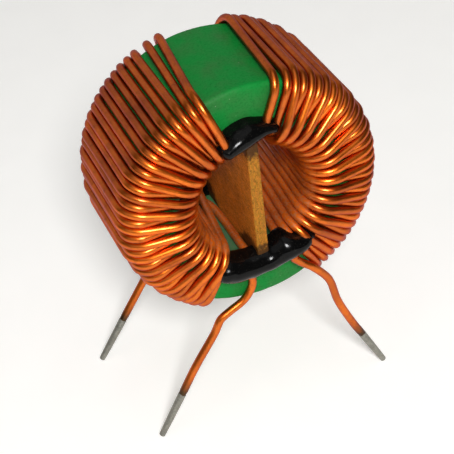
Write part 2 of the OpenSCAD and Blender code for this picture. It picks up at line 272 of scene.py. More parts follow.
def run_lengths(path):
    """The length along a path up to each of its points."""
    return np.concatenate([[0], np.cumsum(np.linalg.norm(np.diff(path, axis=0), axis=1))])


def way_out(azimuth, elevation):
    """The way from the part to a place at angles about the vertical, from the front, and above the floor."""
    level = math.cos(elevation)
    return Vector((math.sin(azimuth) * level, -math.cos(azimuth) * level, math.sin(elevation)))


# A wire that starts steeper than this is set square to X instead of Z
STEEP = 0.9


def tube(path, radii, sides):
    """Points and faces of a round wire along a path, closed at both ends."""
    path = np.asarray(path, float)
    ways = unit(np.diff(path, axis=0))
    tangents = unit(np.vstack([ways[:1], ways[:-1] + ways[1:], ways[-1:]]))
    start = np.cross(tangents[0], (0, 0, 1) if abs(tangents[0][2]) < STEEP else (1, 0, 0))
    across = []
    for tangent in tangents:
        start = start - tangent * start.dot(tangent)
        start = start / np.linalg.norm(start)
        across.append(start)
    across = np.array(across)
    upward = np.cross(tangents, across)
    at = np.arange(sides) * 2 * math.pi / sides
    ring = across[:, None] * np.cos(at)[:, None] + upward[:, None] * np.sin(at)[:, None]
    points = path[:, None] + ring * np.broadcast_to(radii, len(path))[:, None, None]
    return points.reshape(-1, 3), band_faces(len(path), sides) + end_faces(len(path), sides)


def filled(path, longest):
    """A path with points added on its long pieces."""
    path = np.asarray(path, float)
    rows = [path[:1]]
    for here, there in zip(path[:-1], path[1:]):
        count = max(1, math.ceil(np.linalg.norm(there - here) / longest))
        rows.append(here + (there - here) * np.linspace(0, 1, count + 1)[1:, None])
    return np.vstack(rows)


def eased(corners, steps=10):
    """A smooth curve through the corners of a lead."""
    corners = np.asarray(corners, float)
    before, after = 2 * corners[0] - corners[1], 2 * corners[-1] - corners[-2]
    points = np.vstack([before, corners, after])
    # Knots by the root of the distance keep the curve free of loops
    knots = np.concatenate([[0], np.cumsum(np.sqrt(np.linalg.norm(np.diff(points, axis=0), axis=1)))])
    curve = [corners[0]]
    for i in range(1, len(points) - 2):
        p, t = points[i - 1 : i + 3], knots[i - 1 : i + 3]
        for s in np.linspace(t[1], t[2], steps + 1)[1:]:
            a = [((t[k + 1] - s) * p[k] + (s - t[k]) * p[k + 1]) / (t[k + 1] - t[k]) for k in range(3)]
            b = [((t[k + 2] - s) * a[k] + (s - t[k]) * a[k + 1]) / (t[k + 2] - t[k]) for k in range(2)]
            curve.append(((t[2] - s) * b[0] + (s - t[1]) * b[1]) / (t[2] - t[1]))
    return np.array(curve)


# How far the noise is shifted for each seed
SEED_SHIFT = (17.3, 5.1, 9.7)


def lumps(points, size, seed):
    """Slow seeded noise between -1 and 1 at each point; a wave is about the size in millimetres."""
    shift = Vector([seed * step for step in SEED_SHIFT])
    return np.array([noise.noise(Vector(p) / size + shift) for p in points])


# The path of the wire


def on_core(radius, degrees, along):
    """A point at a distance from the ring's axis, at an angle from +X, and a way along the axis."""
    turned = math.radians(degrees)
    radius, along = np.broadcast_arrays(np.asarray(radius, float), np.asarray(along, float))
    return np.stack([radius * math.cos(turned), along, radius * math.sin(turned)], -1)


class Sizes:
    """The part's sizes in millimetres, worked out once from the properties."""

    def __init__(self, scene):
        core, wire, leads = scene.choke_core, scene.choke_wire, scene.choke_leads
        self.rim = core.outer_radius / MM
        self.hole = core.hole_radius / MM
        self.depth = (core.outer_radius - core.hole_radius) / MM
        self.half = core.half_width / MM
        self.edge = core.edge_radius / MM
        self.height = core.centre_height / MM
        self.copper = wire.copper_radius / MM
        self.wire = (wire.copper_radius + wire.enamel) / MM
        self.lay = self.wire + wire.lay_clearance / MM
        self.step = 2 * self.wire + wire.pass_clearance / MM
        self.gap = wire.rim_clearance / MM
        self.first_ease = wire.first_ease / MM
        self.return_ease = wire.return_ease / MM
        self.inner_ease = wire.inner_ease / MM
        self.top = math.degrees(wire.top_angle)
        self.span = math.degrees(wire.span)
        self.lean = math.degrees(wire.lean)
        self.pairs = wire.pairs
        self.turn = self.span / self.pairs / 2
        self.tin_length = leads.tin_length / MM
        self.tin_thickness = leads.tin_thickness / MM
        self.tin_bevel = leads.tin_bevel / MM
        self.tin_radius = self.copper + self.tin_thickness
        self.tip_share = leads.tip_share
        half_board = (BOARD_HIGH.x - BOARD_LOW.x) / MM / 2
        self.entry_x = half_board + self.wire + scene.choke_divider.entry_clearance / MM
        self.bend = self.edge + self.lay
        self.first = Pass(self, self.first_ease, self.bend)
        self.back = Pass(self, self.return_ease, self.bend + self.step)
        self.entry_angle = BOTTOM - math.degrees(math.asin(self.entry_x / self.first.in_hole))


class Pass:
    """The bends of one pass over the ring's edges: an eased bend is wider and clears the edge by as much."""

    def __init__(self, sizes, outer_ease, inner_bend):
        inner_ease = sizes.inner_ease
        level = sizes.half - sizes.edge
        self.outer = sizes.bend + math.sqrt(2) * outer_ease
        self.inner = inner_bend + math.sqrt(2) * inner_ease
        self.outer_middle = (sizes.rim - sizes.edge - outer_ease, level - outer_ease)
        self.inner_middle = (sizes.hole + sizes.edge + inner_ease, level - inner_ease)
        across, up = np.subtract(self.outer_middle, self.inner_middle)
        tilt = math.atan2(up, across) + math.acos((self.inner - self.outer) / math.hypot(across, up))
        self.face = math.degrees(tilt)
        self.in_hole = self.inner_middle[0] - self.inner
        self.level = self.inner_middle[1] + self.inner

    def arc(self, outside, start, end, degrees, side, steps=9):
        """Points of a bend at an angle on the ring, on its front (-1) or its back (1)."""
        middle, radius = (self.outer_middle, self.outer) if outside else (self.inner_middle, self.inner)
        at = np.radians(np.linspace(start, end, steps + 1))
        return on_core(middle[0] + radius * np.cos(at), degrees, side * (middle[1] + radius * np.sin(at)))

    def out_of_hole(self, degrees, side):
        return self.arc(False, 180, self.face, degrees, side)

    def into_hole(self, degrees, side):
        return self.arc(False, self.face, 180, degrees, side)

    def onto_rim(self, degrees, side):
        return self.arc(True, self.face, 0, degrees, side)

    def off_rim(self, degrees, side):
        return self.arc(True, 0, self.face, degrees, side)


# Bends of each lead as shares of the way from the face to the tip: sideways, along the axis and down
LEAD_SHARES = {
    "front_left": (
        (0.03, 0.06, 0.06), (0.1, 0.12, 0.12), (0.23, 0.17, 0.17),
        (0.32, 0.21, 0.21), (0.39, 0.3, 0.3), (0.6, 0.52, 0.52),
    ),
    "front_right": (
        (0.1, 0.6, 0.04), (0.29, 0.75, 0.16), (0.34, 0.75, 0.22), (0.41, 0.78, 0.37), (0.6, 0.85, 0.6),
    ),
    "back_left": ((0.06, 0.1, 0.1), (0.15, 0.2, 0.2), (0.28, 0.33, 0.33), (0.46, 0.5, 0.5)),
    "back_right": (
        (0.03, 0.06, 0.06), (0.12, 0.12, 0.12), (0.26, 0.19, 0.19), (0.36, 0.28, 0.28), (0.56, 0.5, 0.5),
    ),
}
# Where the first and the last lead leave the face, as shares of the ring's depth
ENTRY_EXIT_SHARE = 0.54
LAST_EXIT_SHARE = 0.49
# Way of each first lead through the hole, as shares of the angle to the first turn and of the core's width
ENTRY_SHARES = {"left": ((0.06, 0.7), (0.42, 0.84)), "right": ((0.5, 0.5),)}
# How far the last first turn and the crossing turn after it lean towards the top on the rim, in turns;
# below zero they lean away from it
LAST_LEAN = {"left": 0.6, "right": 0.0}
CROSSING_LEAN = {"left": 0.0, "right": -0.55}
# How soon a tip widens to the full wire; one is an even taper
TIP_CURVE = 0.6


def narrowed(sizes, from_tip):
    """Width of a lead at a distance from its tip, as a share of its full width."""
    return sizes.tip_share + (1 - sizes.tip_share) * np.clip(from_tip / sizes.tin_length, 0, 1) ** TIP_CURVE


class Lead:
    """One lead of a left winding, from where it leaves the face to its tip."""

    def __init__(self, sizes, label, exit_point, spot):
        shares = np.array(LEAD_SHARES[label])
        self.exit = np.asarray(exit_point, float)
        flat = np.array([spot[0], spot[1], -sizes.height])
        way = unit(flat - (self.exit + shares[-1] * (flat - self.exit)))
        self.tip = flat + (0, 0, (sizes.tin_radius - sizes.tin_bevel) * math.hypot(way[0], way[1]))
        self.bends = self.exit + shares * (self.tip - self.exit)
        self.way = unit(self.tip - self.bends[-1])
        self.strip = sizes.tin_length + sizes.tin_thickness + sizes.wire - sizes.copper

    def route(self, sizes, root):
        """The curve from a point on the winding to the end inside the solder coat."""
        stop = self.tip - 2 * sizes.tin_thickness * self.way
        corners = np.vstack([root, self.exit, self.bends, self.tip - self.strip * self.way, stop])
        return eased(corners)


def leads_of(sizes, scene):
    """The four leads, the right ones turned round to the left side."""
    spots = {label: np.array(getattr(scene.choke_leads, label)) / MM for label in LEAD_SHARES}
    for label in ("front_right", "back_right"):
        spots[label] = -spots[label]
    entry = (-sizes.entry_x, -sizes.half - sizes.lay, -sizes.hole - ENTRY_EXIT_SHARE * sizes.depth)
    last_radius = sizes.hole + LAST_EXIT_SHARE * sizes.depth
    last_angle = math.degrees((2 * sizes.wire + 2 * sizes.gap) / last_radius)
    made = {}
    for label, lean in (("back_left", 1), ("front_right", -1)):
        degrees = TOP + sizes.top + lean * sizes.lean + sizes.span + last_angle
        made[label] = Lead(sizes, label, on_core(last_radius, degrees, sizes.back.level), spots[label])
    for label in ("front_left", "back_right"):
        made[label] = Lead(sizes, label, entry, spots[label])
    return made


def winding_path(sizes, side, top, entry, last, left_out, seed, uneven):
    """Points of a left winding from tip to tip, with a tone for each turn."""
    rng = np.random.default_rng(seed)
    rows, tones = [], []

    def add(points, tone):
        rows.append(points)
        tones.append(np.full(len(points), tone))

    def turn(back, back_angle, front, front_angle, lean=0.0):
        """One turn: out of the hole at the back, over the rim and into the hole at the front."""
        tone = rng.uniform(-1, 1)
        add(back.out_of_hole(back_angle, 1), tone)
        add(back.onto_rim(back_angle - lean * sizes.turn, 1), tone)
        add(front.off_rim(front_angle, -1), tone)
        add(front.into_hole(front_angle, -1), tone)

    def loosened(inner_bend, ease, least):
        """A pass whose outer bends are eased a little more or less than the others."""
        return Pass(sizes, ease + uneven * rng.uniform(least, 1), inner_bend)

    in_hole = sizes.first.into_hole(sizes.entry_angle, -1)
    add(entry.route(sizes, in_hole[0])[::-1], 0)
    add(in_hole[1:], 0)
    middle_radius = (sizes.first.in_hole + sizes.hole - sizes.wire) / 2
    first_angle = top + sizes.span - sizes.turn
    way = [in_hole[-1]]
    for turned, along in ENTRY_SHARES[side]:
        at = sizes.entry_angle + turned * (first_angle - sizes.entry_angle)
        way.append(on_core(middle_radius, at, (2 * along - 1) * sizes.half))
    way.append(sizes.first.out_of_hole(first_angle, 1)[0])
    add(eased(way)[1:-1], 0)
    for i in range(sizes.pairs):
        at = top + sizes.span - (2 * i + 1) * sizes.turn
        loose = loosened(sizes.bend, sizes.first_ease, 0)
        turn(loose, at, loose, at, LAST_LEAN[side] if i == sizes.pairs - 1 else 0.0)
    turn(sizes.first, top - sizes.turn, sizes.back, top, CROSSING_LEAN[side])
    for i in range(1, sizes.pairs + 1 - left_out):
        at = top + 2 * i * sizes.turn
        loose = loosened(sizes.bend + sizes.step, sizes.return_ease, -1)
        turn(loose, at, loose, at)
    out = sizes.back.out_of_hole(top + sizes.span + 2 * sizes.turn, 1)
    add(out[:-1], 0)
    add(last.route(sizes, out[-1]), 0)
    return np.vstack(rows), np.concatenate(tones)


# Materials


class Recipe:
    """A material with short calls for the nodes that a finish is made from; lengths are in millimetres."""

    def __init__(self, name):
        self.material = bpy.data.materials.new(name)
        self.material.use_nodes = True
        self.tree = self.material.node_tree
        self.shader = self.tree.nodes["Principled BSDF"]
        place = self.add("ShaderNodeTexCoord").outputs["Object"]
        self.place = self.add("ShaderNodeMapping", {"Vector": place, "Scale": (1 / MM,) * 3}).outputs[0]

    def add(self, kind, inputs=None, **settings):
        """A new node with its inputs fed and its settings made."""
        node = self.tree.nodes.new(kind)
        for label, value in settings.items():
            setattr(node, label, value)
        for label, value in (inputs or {}).items():
            self.feed(node.inputs[label], value)
        return node

    def feed(self, socket, value):
        """Links an output to a socket, or sets a plain value on it."""
        if isinstance(value, bpy.types.NodeSocket):
            self.tree.links.new(value, socket)
        elif socket.type == "RGBA" and len(value) == 3:
            socket.default_value = (*value, 1)
        else:
            socket.default_value = value

    def noise(self, size, detail=3.0, rough=0.55, stretch=None):
        """Soft noise whose clouds are about the size."""
        place = self.place
        if stretch:
            place = self.add("ShaderNodeMapping", {"Vector": place, "Scale": stretch}).outputs[0]
        values = {"Vector": place, "Scale": 1 / size, "Detail": detail, "Roughness": rough}
        return self.add("ShaderNodeTexNoise", values).outputs[0]

    def cells(self, size):
        """Distance from the middle of the nearest cell."""
        values = {"Vector": self.place, "Scale": 1 / size}
        return self.add("ShaderNodeTexVoronoi", values).outputs["Distance"]

    def band(self, value, low, high, start=0.0, end=1.0):
        """A value that goes from start to end as another goes from low to high."""
        values = {"Value": value, "From Min": low, "From Max": high, "To Min": start, "To Max": end}
        return self.add("ShaderNodeMapRange", values).outputs[0]

    def maths(self, operation, first, second):
        return self.add("ShaderNodeMath", {0: first, 1: second}, operation=operation).outputs[0]

    def mix(self, share, first, second):
        """The first colour with a share of the second in it."""
        node = self.add("ShaderNodeMix", data_type="RGBA")
        for socket in node.inputs:
            if socket.identifier == "Factor_Float":
                self.feed(socket, share)
            elif socket.identifier == "A_Color":
                self.feed(socket, first)
            elif socket.identifier == "B_Color":
                self.feed(socket, second)
        return next(s for s in node.outputs if s.identifier == "Result_Color")

    def value(self, label):
        """A value that the mesh holds at each point."""
        return self.add("ShaderNodeAttribute", attribute_name=label).outputs["Fac"]

    def bump(self, height, strength, reach, below=None):
        """Fine relief, over another one where that is given."""
        values = {"Height": height, "Strength": strength, "Distance": reach * MM}
        if below:
            values["Normal"] = below
        return self.add("ShaderNodeBump", values).outputs[0]

    def set(self, values):
        """Feeds the shader and hands over the material."""
        for label, value in values.items():
            self.feed(self.shader.inputs[label], value)
        return self.material


def shade(tone, share):
    """A colour made lighter or darker."""
    return tuple(min(1.0, c * share) for c in tone)


def green_epoxy(core):
    """Dull coating with slow clouds, fine grain and pale specks, and dust with painted shade inside the hole.
    """
    recipe = Recipe("green_epoxy")
    clouds = recipe.noise(2.4, detail=5)
    grain = recipe.noise(0.22, detail=4)
    tone = recipe.mix(recipe.band(clouds, 0.42, 0.68), core.green, core.olive)
    tone = recipe.mix(recipe.band(grain, 0.5, 0.75, end=0.55), tone, shade(core.green, 0.45))
    specks = recipe.band(recipe.cells(0.55), 0.06, 0.13, start=1, end=0)
    specks = recipe.maths("MULTIPLY", specks, recipe.band(clouds, 0.56, 0.7))
    tone = recipe.mix(specks, tone, core.speck)
    # Dust and painted shade inside the hole: the coating there turns greyer and darker
    dusty = recipe.band(grain, 0.35, 0.65, start=0.35, end=0.85)
    tone = recipe.mix(recipe.maths("MULTIPLY", recipe.value("dull"), dusty), tone, core.dust)
    skin = recipe.bump(recipe.noise(0.5, detail=4), strength=0.35, reach=0.12)
    return recipe.set({
        "Base Color": tone,
        "Roughness": recipe.band(grain, 0.3, 0.7, start=0.4, end=0.6),
        "Specular IOR Level": 0.13,
        "Normal": recipe.bump(grain, strength=0.25, reach=0.05, below=skin),
    })


def ferrite_grey(core):
    """Dark grainy ferrite."""
    recipe = Recipe("ferrite_grey")
    grain = recipe.noise(0.3, detail=5)
    tone = recipe.mix(recipe.band(grain, 0.35, 0.7), core.ferrite, shade(core.ferrite, 0.5))
    return recipe.set({
        "Base Color": tone,
        "Roughness": 0.6,
        "Normal": recipe.bump(grain, strength=0.3, reach=0.05),
    })


def enamelled_copper(wire):
    """Copper under clear enamel: a tone for each turn, streaks, dust in the hole and scorched ends."""
    recipe = Recipe("enamelled_copper")
    inside = recipe.value("inside")
    drift = recipe.noise(3.0, detail=4)
    streaks = recipe.noise(0.6, detail=5)
    tone = recipe.mix(recipe.band(drift, 0.35, 0.7, end=0.7), wire.copper, wire.dark_copper)
    by_turn = recipe.band(recipe.value("tone"), -1, 1, end=0.45)
    tone = recipe.mix(by_turn, tone, shade(wire.dark_copper, 0.8))
    tone = recipe.mix(recipe.band(streaks, 0.55, 0.8, end=0.5), tone, shade(wire.dark_copper, 0.55))
    specks = recipe.noise(0.1, detail=3, rough=0.7)
    tone = recipe.mix(recipe.band(specks, 0.56, 0.7, end=0.4), tone, wire.dust)
    patches = recipe.noise(0.25, detail=5, rough=0.65)
    dusty = recipe.maths("MULTIPLY", inside, recipe.band(patches, 0.46, 0.6))
    tone = recipe.mix(recipe.maths("MULTIPLY", dusty, 0.7), tone, shade(wire.dust, 1.9))
    ragged = recipe.band(streaks, 0, 1, start=-0.6, end=0.6)
    near_tin = recipe.maths("ADD", recipe.value("from_tin"), ragged)
    tone = recipe.mix(recipe.band(near_tin, 0.2, 2.4, start=1, end=0), tone, wire.scorched)
    rough = recipe.band(streaks, 0.3, 0.75, start=0.3, end=0.42)
    return recipe.set({
        "Base Color": tone,
        "Metallic": recipe.band(inside, 0, 1, start=1.0, end=0.55),
        "Roughness": recipe.maths("ADD", rough, recipe.maths("MULTIPLY", inside, 0.2)),
        "Specular IOR Level": 0.2,
        "Specular Tint": (0.3, 0.12, 0.04),
        "Coat Weight": 0.45,
        "Coat Roughness": 0.24,
        "Coat IOR": 1.5,
        "Normal": recipe.bump(streaks, strength=0.08, reach=0.04),
    })


def fibre_board(divider):
    """Pressed board: blotched grainy faces, layered speckled cut edges, and a dark glue stain with painted
    shade of the beads at the ends.
    """
    recipe = Recipe("fibre_board")
    face = divider.face
    blotch = recipe.noise(1.6, detail=4)
    fibres = recipe.noise(0.22, detail=5, rough=0.6, stretch=(1.0, 0.25, 1.0))
    tone = recipe.mix(recipe.band(blotch, 0.35, 0.7), face, shade(face, 0.6))
    tone = recipe.mix(recipe.band(fibres, 0.45, 0.75, end=0.6), tone, shade(face, 0.35))
    grains = recipe.noise(0.11, detail=3, rough=0.7)
    tone = recipe.mix(recipe.band(grains, 0.54, 0.64, end=0.75), tone, shade(face, 0.2))
    tone = recipe.mix(recipe.band(grains, 0.45, 0.36, end=0.6), tone, shade(face, 1.5))
    layers = recipe.noise(0.2, detail=4, rough=0.6, stretch=(3.0, 1.0, 0.5))
    cut = recipe.mix(recipe.band(layers, 0.4, 0.65), divider.cut, shade(face, 0.8))
    specks = recipe.noise(0.18, detail=3, rough=0.65)
    cut = recipe.mix(recipe.band(specks, 0.56, 0.66, end=0.9), cut, shade(face, 0.16))
    cut = recipe.mix(recipe.band(specks, 0.42, 0.34), cut, shade(divider.cut, 1.9))
    tone = recipe.mix(recipe.value("cut"), tone, cut)
    # Glue stain and painted shade of the beads: the board turns almost black near its glued ends
    ragged = recipe.band(recipe.noise(0.4, detail=4), 0.3, 0.7, start=-0.5, end=0.5)
    soaked_and_shaded = recipe.maths("ADD", recipe.value("to_glue"), ragged)
    tone = recipe.mix(recipe.band(soaked_and_shaded, 1.7, 2.6, start=0.9, end=0), tone, shade(face, 0.05))
    rise = recipe.bump(fibres, strength=0.3, reach=0.05)
    return recipe.set({
        "Base Color": tone,
        "Roughness": recipe.band(fibres, 0.3, 0.7, start=0.45, end=0.75),
        "Specular IOR Level": 0.2,
        "Normal": recipe.bump(layers, strength=0.5, reach=0.06, below=rise),
    })


def black_glue(glue):
    """Glossy set glue with a little dust and a slightly wavy skin."""
    recipe = Recipe("black_glue")
    slow = recipe.noise(1.2, detail=3)
    dust = recipe.noise(0.14, detail=4, rough=0.7)
    tone = recipe.mix(recipe.band(dust, 0.6, 0.74, end=0.35), glue.black, glue.dust)
    tone = recipe.mix(recipe.band(slow, 0.55, 0.8, end=0.2), tone, shade(glue.dust, 0.2))
    skin = recipe.bump(recipe.noise(0.9, detail=2), strength=0.2, reach=0.1)
    return recipe.set({
        "Base Color": tone,
        "Roughness": recipe.band(slow, 0.3, 0.7, start=0.1, end=0.24),
        "Specular IOR Level": 0.15,
        "Normal": recipe.bump(recipe.noise(0.2, detail=3), strength=0.06, reach=0.03, below=skin),
    })


def tinned_wire(leads):
    """Frosted solder with darker drifts."""
    recipe = Recipe("tinned_wire")
    frost = recipe.noise(0.18, detail=5)
    drift = recipe.noise(0.9, detail=3)
    tone = recipe.mix(recipe.band(frost, 0.4, 0.7, end=0.7), leads.tin, shade(leads.tin, 0.6))
    tone = recipe.mix(recipe.band(drift, 0.5, 0.75, end=0.5), tone, shade(leads.tin, 0.4))
    return recipe.set({
        "Base Color": tone,
        "Metallic": 0.85,
        "Roughness": recipe.band(frost, 0.3, 0.7, start=0.34, end=0.58),
        "Normal": recipe.bump(frost, strength=0.3, reach=0.04),
    })


def pale_floor(stage, glow):
    """Pale matt floor that glows only as it is seen, straight, in a gloss or through glass."""
    recipe = Recipe("pale_floor")
    grain = recipe.noise(6.0, detail=3)
    paths = recipe.add("ShaderNodeLightPath").outputs
    seen = recipe.maths("MAXIMUM", paths["Is Camera Ray"], paths["Is Glossy Ray"])
    seen = recipe.maths("MAXIMUM", seen, paths["Is Transmission Ray"])
    return recipe.set({
        "Base Color": recipe.mix(recipe.band(grain, 0.3, 0.7), stage.floor, shade(stage.floor, 0.97)),
        "Roughness": 0.8,
        "Specular IOR Level": 0.2,
        "Emission Color": stage.floor,
        "Emission Strength": recipe.maths("MULTIPLY", seen, glow),
    })


# Operators


class CHOKE_OT_coated_core(bpy.types.Operator):
    """Makes the coating's skin and gives the ferrite under it its finish"""

    bl_idname = "choke.coated_core"
    bl_label = "Coated core"

    AROUND = 288
    CORNER_STEPS = 8
    FLAT_STEPS = 14
    LONG_SIDE = 1.0
    # The skin's waves: sizes in millimetres, the share of the fast ones, and how far all of it sinks
    SLOW_WAVE = 2.2
    FAST_WAVE = 0.8
    FAST_SHARE = 0.5
    SINK = 0.6

    def execute(self, context):
        core, sizes = context.scene.choke_core, Sizes(context.scene)
        section = self.section(sizes)
        points = self.swept(section[:, 0], section[:, 1])
        outward = self.swept(section[:, 2], section[:, 3])
        fast = self.FAST_SHARE * lumps(points, self.FAST_WAVE, seed=2)
        waves = lumps(points, self.SLOW_WAVE, seed=1) + fast - self.SINK
        points = points + outward * (waves * core.lump / MM)[:, None] + (0, 0, sizes.height)
        # How deep in the hole each point lies, for the dust and painted shade there
        away = np.hypot(points[:, 0], points[:, 2] - sizes.height)
        dull = np.clip((sizes.hole + 2 * sizes.edge - away) / sizes.edge, 0, 1)
        piece = put_mesh("coating_skin", points, band_faces(self.AROUND, len(section), True), {"dull": dull})
        finish_piece(piece, green_epoxy(core), "green_epoxy", "core_coating")
        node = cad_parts["ferrite_core"]
        node.data.materials.clear()
        node.data.materials.append(ferrite_grey(core))
        return {"FINISHED"}

    def swept(self, across, along):
        """The section's rows carried round the ring's axis."""
        turned = np.arange(self.AROUND) * 2 * math.pi / self.AROUND
        level = np.broadcast_to(along, (self.AROUND, len(along)))
        rows = [np.outer(np.cos(turned), across), level, np.outer(np.sin(turned), across)]
        return np.stack(rows, -1).reshape(-1, 3)

    def section(self, sizes):
        """Outline of the ring's section as [radius, along, way out] rows."""
        rows = []
        for right, front, start in ((1, 1, 0), (-1, 1, 90), (-1, -1, 180), (1, -1, 270)):
            radius = (sizes.rim - sizes.edge) if right > 0 else (sizes.hole + sizes.edge)
            level = front * (sizes.half - sizes.edge)
            for i in range(self.CORNER_STEPS + 1):
                at = math.radians(start + 90 * i / self.CORNER_STEPS)
                way = (math.cos(at), math.sin(at))
                rows.append((radius + sizes.edge * way[0], level + sizes.edge * way[1], *way))
        closed = np.array(rows + rows[:1])
        full = []
        for here, there in zip(closed[:-1], closed[1:]):
            count = self.FLAT_STEPS if np.linalg.norm(there[:2] - here[:2]) > self.LONG_SIDE else 1
            full.extend(here + (there - here) * k / count for k in range(count))
        return np.array(full)


class CHOKE_OT_windings(bpy.types.Operator):
    """Makes both windings as one long wire each"""

    bl_idname = "choke.windings"
    bl_label = "Windings"

    SEEDS = {"left": 11, "right": 23}
    LONGEST_STEP = 0.7
    SAME_POINT = 1e-4
    # How far the bare end runs on under the enamel, and how far it stays inside the solder coat
    BARE_OVERLAP = 0.02
    COAT_SHARE = 1 / 3
    # Where the wire counts as inside the hole, and how much of the dust there lies at the middle and the top
    INSIDE_EDGE = 0.4
    INSIDE_FACE = 0.6
    DUST_MIDDLE = 0.6
    DUST_TOP = 0.35

    def execute(self, context):
        wire, sizes = context.scene.choke_wire, Sizes(context.scene)
        leads = leads_of(sizes, context.scene)
        material = enamelled_copper(wire)
        self.wind("left", sizes, wire, material, leads["front_left"], leads["back_left"], wire.left_out)
        self.wind("right", sizes, wire, material, leads["back_right"], leads["front_right"], wire.right_out)
        return {"FINISHED"}

    def wind(self, side, sizes, wire, material, entry, last, left_out):
        """One winding; the right one is made as a left one and turned round."""
        top = TOP + sizes.top + (sizes.lean if side == "left" else -sizes.lean)
        uneven = wire.uneven / MM
        path, tones = winding_path(sizes, side, top, entry, last, left_out, self.SEEDS[side], uneven)
        keep = np.concatenate([[True], np.linalg.norm(np.diff(path, axis=0), axis=1) > self.SAME_POINT])
        path, tones = path[keep], tones[keep]
        fine = filled(path, self.LONGEST_STEP)
        along = run_lengths(fine)
        from_tip = np.minimum(along, along[-1] - along)
        from_tin = from_tip - sizes.tin_length
        bare = (sizes.copper - self.COAT_SHARE * sizes.tin_thickness) * narrowed(sizes, from_tip)
        radii = np.where(from_tin < self.BARE_OVERLAP, bare, sizes.wire)
        points, faces = tube(fine, radii, wire.sides)
        if side == "right":
            points = points * TURNED_ROUND
        values = {
            "tone": np.interp(along, run_lengths(path), tones),
            "from_tin": from_tin,
            "inside": self.inside(sizes, fine),
        }
        values = {label: np.repeat(numbers, wire.sides) for label, numbers in values.items()}
        piece = put_mesh(f"{side}_winding", points + (0, 0, sizes.height), faces, values)
        finish_piece(piece, material, "enamelled_copper", f"winding_{side}")

    def inside(self, sizes, path):
        """How dusty the wire is inside the hole: most at the bottom."""
        away = np.hypot(path[:, 0], path[:, 2])
        within_hole = away < sizes.hole + self.INSIDE_EDGE
        between_faces = np.abs(path[:, 1]) < sizes.half + self.INSIDE_FACE
        dust = np.clip(self.DUST_MIDDLE * (1 - path[:, 2] / sizes.hole), self.DUST_TOP, 1)
        return (within_hole & between_faces) * dust


class CHOKE_OT_divider(bpy.types.Operator):
    """Makes the divider board with its worn, cut edges"""

    bl_idname = "choke.divider"
    bl_label = "Divider board"

    COUNTS = (8, 72, 72)
    ROUNDING_MARKS = (0, 0.3, 0.65)
    # Chips and finer nicks: their sizes, how far they reach in, and where they and the cut face start
    CHIP_SIZE = 0.45
    CHIP_LEAST = 0.05
    NICK_SIZE = 0.2
    NICK_SHARE = 0.6
    CHIP_DEPTH = 0.12
    WORN_FROM, WORN_OVER = 0.97, 0.03
    CUT_FROM, CUT_OVER = 0.985, 0.008
    # Width at each end of the board that lies in the glue
    GLUED_END = 3

    def execute(self, context):
        divider = context.scene.choke_divider
        low, high = np.array(BOARD_LOW) / MM, np.array(BOARD_HIGH) / MM
        points, faces = self.slab(low, high, divider.edge_radius / MM)
        middle, half = (low + high) / 2, (high - low) / 2
        out = (np.abs(points - middle) / half)[:, 1:].max(1)
        worn = np.clip((out - self.WORN_FROM) / self.WORN_OVER, 0, 1)
        chips = np.clip(lumps(points, self.CHIP_SIZE, seed=3) - self.CHIP_LEAST, 0, 1)
        chips = chips + self.NICK_SHARE * np.clip(lumps(points, self.NICK_SIZE, seed=4), 0, 1)
        points = points + unit(middle - points) * (worn * chips * self.CHIP_DEPTH)[:, None]
        cut = np.clip((out - self.CUT_FROM) / self.CUT_OVER, 0, 1)
        # Distance to the glued ends, where the board gets its glue stain and painted shade of the beads
        to_glue = np.minimum(points[:, 2] - low[2], high[2] - points[:, 2])
        to_glue = to_glue + np.clip(high[1] - self.GLUED_END - np.abs(points[:, 1]), 0, None)
        piece = put_mesh("divider_sheet", points, faces, {"cut": cut, "to_glue": to_glue})
        finish_piece(piece, fibre_board(divider), "fibre_board", "divider_board")
        return {"FINISHED"}

    def slab(self, low, high, rounding):
        """Points and faces of a rounded slab in a fine grid."""
        grid = [self.marks(low[k], high[k], rounding, self.COUNTS[k]) for k in range(3)]
        index, points, faces = {}, [], []

        def corner(key):
            if key not in index:
                index[key] = len(points)
                points.append([grid[k][key[k]] for k in range(3)])
            return index[key]

        for flat in range(3):
            u, v = (flat + 1) % 3, (flat + 2) % 3
            for end in (0, len(grid[flat]) - 1):
                for i in range(len(grid[u]) - 1):
                    for j in range(len(grid[v]) - 1):
                        keys = []
                        for a, b in ((0, 0), (1, 0), (1, 1), (0, 1)):
                            key = [0, 0, 0]
                            key[flat], key[u], key[v] = end, i + a, j + b
                            keys.append(corner(tuple(key)))
                        faces.append(tuple(keys if end else keys[::-1]))
        points = np.array(points)
        core = np.clip(points, low + rounding, high - rounding)
        off = points - core
        reach = np.linalg.norm(off, axis=1, keepdims=True)
        return core + rounding * off / np.maximum(reach, 1e-9), faces

    def marks(self, low, high, rounding, count):
        """Grid lines along one side: even ones, and closer ones at the rounded edges."""
        near = rounding * np.array(self.ROUNDING_MARKS)
        even = np.linspace(low + rounding, high - rounding, count)
        return np.concatenate([low + near, even, (high - near)[::-1]])


# Beads from one end to the other: places across the ring's depth, widths and heights
BEADS = {
    "bottom": (
        (0.14, 0.11, 0.07, 0.04, 0.01, -0.03, -0.07, -0.01, 0.12),
        (0.94, 0.95, 0.94, 0.92, 0.89, 0.96, 1.08, 1.03, 0.7),
        (0.94, 0.96, 0.9, 0.85, 0.84, 0.9, 1, 0.98, 0.76),
    ),
    "top": (
        (0, 0.02, 0.03, 0.04, 0.06, 0.08, 0.1, 0.11, 0.1),
        (0.62, 0.73, 0.8, 0.82, 0.8, 0.7, 0.55, 0.42, 0.36),
        (0.94, 0.95, 0.92, 0.88, 0.86, 0.82, 0.76, 0.68, 0.6),
    ),
}
# Start and span of each bead in degrees from +X
BEAD_ANGLES = {"bottom": (242, 64.5), "top": (110, -38)}


